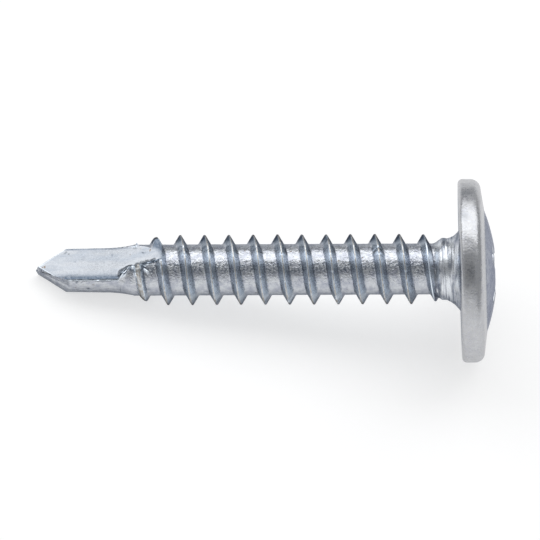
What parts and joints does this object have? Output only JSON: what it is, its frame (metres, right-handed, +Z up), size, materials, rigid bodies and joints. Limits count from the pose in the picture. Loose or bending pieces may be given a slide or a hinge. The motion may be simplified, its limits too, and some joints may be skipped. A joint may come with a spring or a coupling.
{
  "type": "self-drilling wafer-head screw",
  "caption": "Zinc-plated self-drilling sheet metal screw with a wide low wafer head, a cross recess, a coarse right-hand thread and a pinched drill point.",
  "frame": {"origin": "middle of the footprint, on the surface that the screw lies on", "axes": "+X from the drill point towards the head in plan, with the screw leaning 11 degrees up to its head; +Z up"},
  "size_m": [0.0266, 0.0106, 0.0106],
  "materials": {
    "zinc_steel": "bright zinc plating on cold-formed carbon steel, slightly blue, pitted between the threads"
  },
  "bodies": {
    "root": {"screw": "zinc_steel"}
  },
  "joints": []
}
